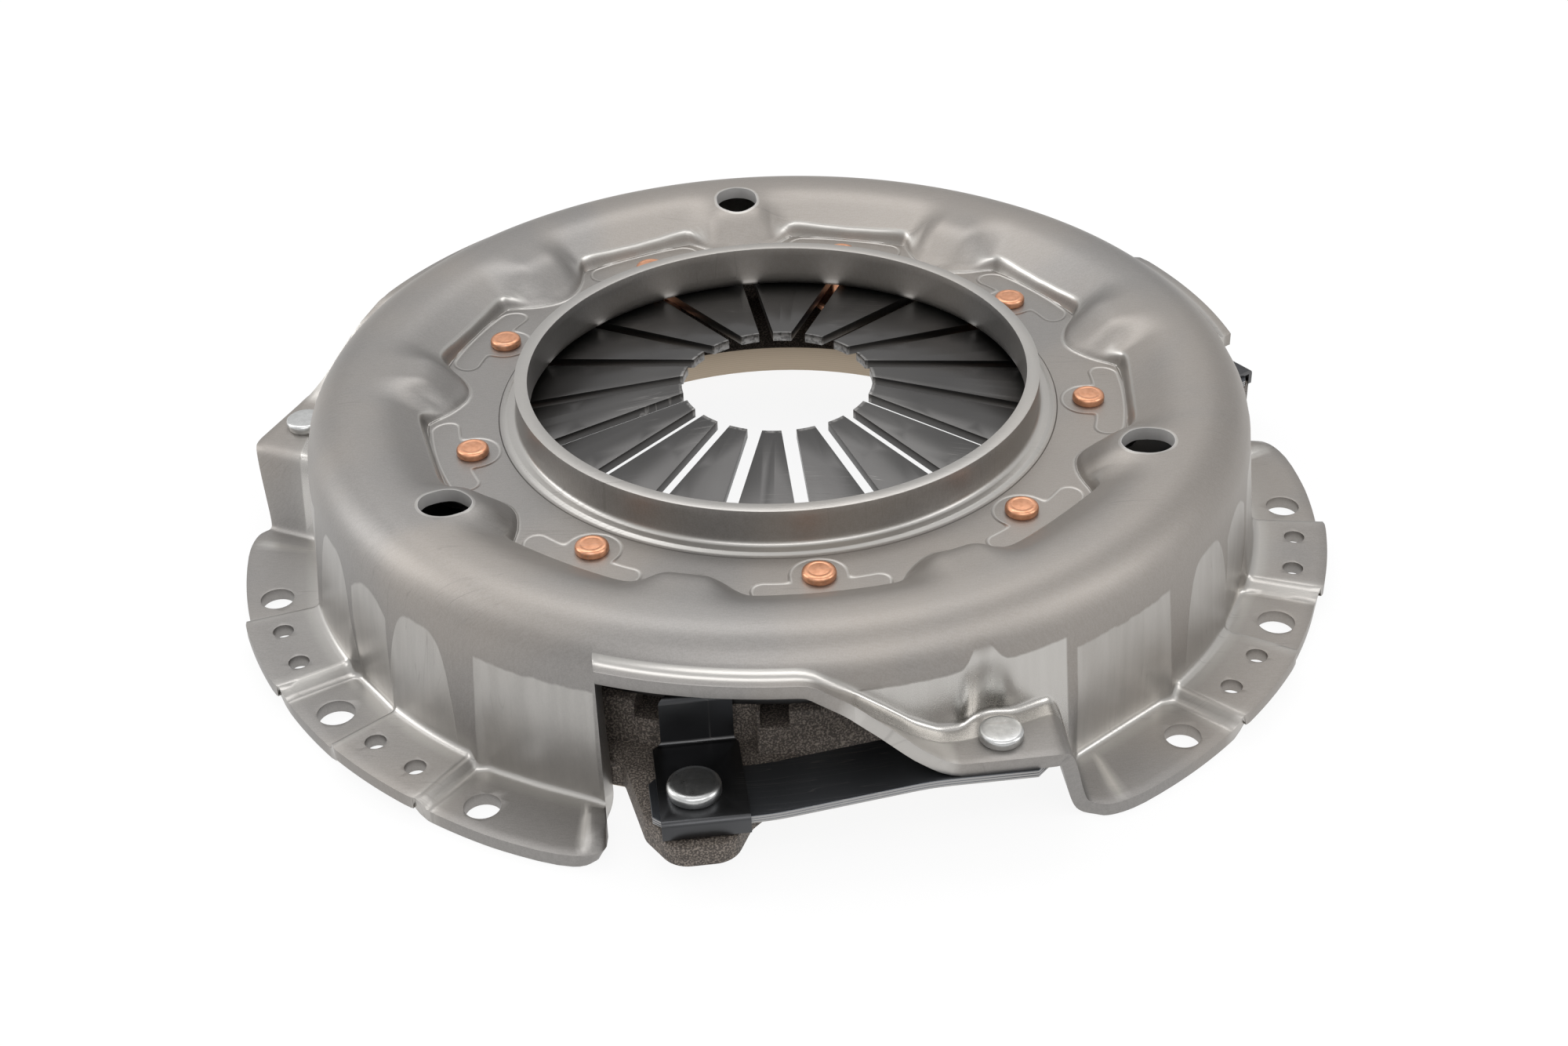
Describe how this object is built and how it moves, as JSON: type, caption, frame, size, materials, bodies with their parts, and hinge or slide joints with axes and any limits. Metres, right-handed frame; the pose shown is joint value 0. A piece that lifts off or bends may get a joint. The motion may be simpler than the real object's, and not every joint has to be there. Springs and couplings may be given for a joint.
{
  "type": "clutch pressure plate",
  "caption": "Clutch cover with a diaphragm spring on riveted wire rings, a strap-driven friction plate, and a flange that bolts to a flywheel.",
  "frame": {"origin": "centre of the flange's bolt circle on its mating face", "axes": "+Z from the flywheel towards the gearbox; the clutch turns about Z; the first strap window faces 84 degrees clockwise from +X"},
  "size_m": [0.3017, 0.3003, 0.053],
  "materials": {
    "pressed_steel": "satin bare pressed steel, warm grey, with burnished patches",
    "cast_iron": "rough dark brown-grey casting, machined friction face and bore",
    "spring_steel": "dark phosphated spring steel",
    "wire": "drawn wire",
    "coppered_rivet": "copper flashed steel",
    "zinc_rivet": "zinc plated, bright rim",
    "blued_clip": "blue-black tempered sheet with bare edges",
    "blued_strap": "blue-black tempered sheet with bare edges"
  },
  "bodies": {
    "housing": {"cover": "pressed_steel", "upper_fulcrum_ring": "wire", "lower_fulcrum_ring": "wire", "fulcrum_rivet_1": "coppered_rivet", "fulcrum_rivet_2": "coppered_rivet", "fulcrum_rivet_3": "coppered_rivet", "fulcrum_rivet_4": "coppered_rivet", "fulcrum_rivet_5": "coppered_rivet", "fulcrum_rivet_6": "coppered_rivet", "fulcrum_rivet_7": "coppered_rivet", "fulcrum_rivet_8": "coppered_rivet", "fulcrum_rivet_9": "coppered_rivet", "strap_cover_rivet_1": "zinc_rivet", "strap_cover_rivet_2": "zinc_rivet", "strap_cover_rivet_3": "zinc_rivet", "drive_strap_1_leaf_1": "blued_strap", "drive_strap_1_leaf_2": "blued_strap", "drive_strap_1_leaf_3": "blued_strap", "drive_strap_2_leaf_1": "blued_strap", "drive_strap_2_leaf_2": "blued_strap", "drive_strap_2_leaf_3": "blued_strap", "drive_strap_3_leaf_1": "blued_strap", "drive_strap_3_leaf_2": "blued_strap", "drive_strap_3_leaf_3": "blued_strap"},
    "plate": {"pressure_plate": "cast_iron", "retraction_clip_1": "blued_clip", "retraction_clip_2": "blued_clip", "retraction_clip_3": "blued_clip", "strap_plate_rivet_1": "zinc_rivet", "strap_plate_rivet_2": "zinc_rivet", "strap_plate_rivet_3": "zinc_rivet"},
    "diaphragm": {"diaphragm_spring": "spring_steel"}
  },
  "joints": [
    {"name": "plate_lift", "type": "slide", "parent": "housing", "child": "plate", "axis": [0, 0, 1], "range_m": [0, 0.0036], "stiffness_N_per_m": 6000, "deforming": ["drive_strap_1_leaf_1", "drive_strap_1_leaf_2", "drive_strap_1_leaf_3", "drive_strap_2_leaf_1", "drive_strap_2_leaf_2", "drive_strap_2_leaf_3", "drive_strap_3_leaf_1", "drive_strap_3_leaf_2", "drive_strap_3_leaf_3"]},
    {"name": "finger_dip", "type": "slide", "parent": "plate", "child": "diaphragm", "axis": [0, 0, 1], "range_m": [-0.0156, 0], "deforming": ["diaphragm_spring"]}
  ],
  "couplings": [
    {"joint": "finger_dip", "follows": "plate_lift", "ratio": -4.2925}
  ]
}
